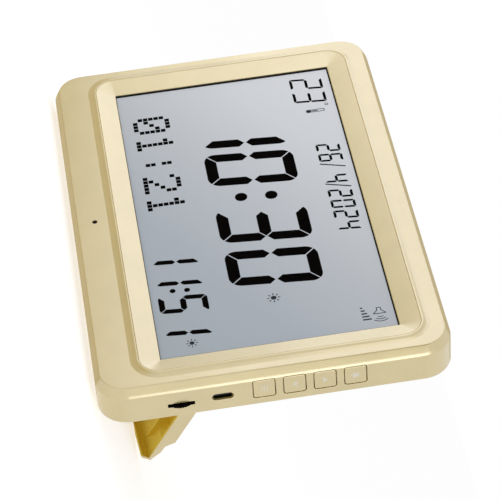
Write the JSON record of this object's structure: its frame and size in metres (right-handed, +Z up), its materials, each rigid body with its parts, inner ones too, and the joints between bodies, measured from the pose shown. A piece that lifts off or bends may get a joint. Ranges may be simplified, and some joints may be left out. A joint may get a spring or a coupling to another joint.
{
  "type": "digital desk clock",
  "caption": "Wide desk clock with a recessed liquid-crystal display in a stepped ring, square side keys, an edge volume wheel, a charging socket and a ribbed fold-out stand.",
  "frame": {"origin": "bottom centre of the bounding box, on the floor that the clock stands on", "axes": "+Z up from the floor, +X to the right of the display as seen from the front, -Y towards the viewer; the face leans back from vertical on the open stand"},
  "size_m": [0.2296, 0.0902, 0.1561],
  "materials": {
    "champagne_plastic": "satin, lightly metallic champagne",
    "clear_plastic": "clear",
    "display_glass": "grey-blue liquid-crystal display, opaque",
    "white_plastic": "moulded white",
    "black_plastic": "moulded black",
    "board_laminate": "solder-masked board",
    "steel": "plated",
    "black_rubber": "matte",
    "battery_wrap": "foil wrap",
    "paper_cone": "pressed paper"
  },
  "bodies": {
    "clock_body": {"alarm_switch": "black_plastic", "back_cover": "champagne_plastic", "backup_cell": "steel", "battery_pack": "battery_wrap", "battery_tape": "black_rubber", "board_screw_1": "steel", "board_screw_2": "steel", "board_screw_3": "steel", "board_screw_4": "steel", "case_screw_1": "steel", "case_screw_2": "steel", "case_screw_3": "steel", "case_screw_4": "steel", "case_screw_5": "steel", "case_screw_6": "steel", "clock_crystal": "steel", "display_driver": "black_plastic", "down_switch": "black_plastic", "frame_screw_1": "steel", "frame_screw_2": "steel", "frame_screw_3": "steel", "frame_screw_4": "steel", "front_shell": "champagne_plastic", "hinge_pin": "steel", "hinge_washer_left": "steel", "hinge_washer_right": "steel", "indicator_board": "board_laminate", "indicator_lamp": "white_plastic", "indicator_lens": "clear_plastic", "key_board": "board_laminate", "lcd_connector": "black_rubber", "lcd_frame": "white_plastic", "lcd_panel": "display_glass", "light_guide": "white_plastic", "main_board": "board_laminate", "menu_switch": "black_plastic", "processor_chip": "black_plastic", "socket_core": "black_plastic", "socket_shell": "steel", "sound_chip": "black_plastic", "speaker_basket": "steel", "speaker_cone": "paper_cone", "speaker_gasket": "black_rubber", "speaker_magnet": "steel", "up_switch": "black_plastic", "volume_control": "black_plastic"},
    "stand": {"stand_leg": "champagne_plastic", "foot_strip": "black_rubber"},
    "volume_wheel": {"volume_wheel": "black_plastic", "volume_rotor": "steel", "volume_wheel_screw": "steel"},
    "menu_key": {"menu_button": "champagne_plastic", "menu_plunger": "black_plastic"},
    "down_key": {"down_button": "champagne_plastic", "down_plunger": "black_plastic"},
    "up_key": {"up_button": "champagne_plastic", "up_plunger": "black_plastic"},
    "alarm_key": {"alarm_button": "champagne_plastic", "alarm_plunger": "black_plastic"}
  },
  "joints": [
    {"name": "stand_hinge", "type": "hinge", "parent": "clock_body", "child": "stand", "pos_m": [-0.0008, -0.01355, 0.06256], "axis": [1, 0, 0], "range_deg": [0, 122]},
    {"name": "volume_turn", "type": "hinge", "parent": "clock_body", "child": "volume_wheel", "pos_m": [0.1068, -0.02599, 0.03612], "axis": [0, 0.9773, -0.2119], "range_deg": [-140, 140]},
    {"name": "menu_press", "type": "slide", "parent": "clock_body", "child": "menu_key", "axis": [-1, 0, 0], "range_m": [0, 0.0006], "stiffness_N_per_m": 1500},
    {"name": "down_press", "type": "slide", "parent": "clock_body", "child": "down_key", "axis": [-1, 0, 0], "range_m": [0, 0.0006], "stiffness_N_per_m": 1500},
    {"name": "up_press", "type": "slide", "parent": "clock_body", "child": "up_key", "axis": [-1, 0, 0], "range_m": [0, 0.0006], "stiffness_N_per_m": 1500},
    {"name": "alarm_press", "type": "slide", "parent": "clock_body", "child": "alarm_key", "axis": [-1, 0, 0], "range_m": [0, 0.0006], "stiffness_N_per_m": 1500}
  ]
}
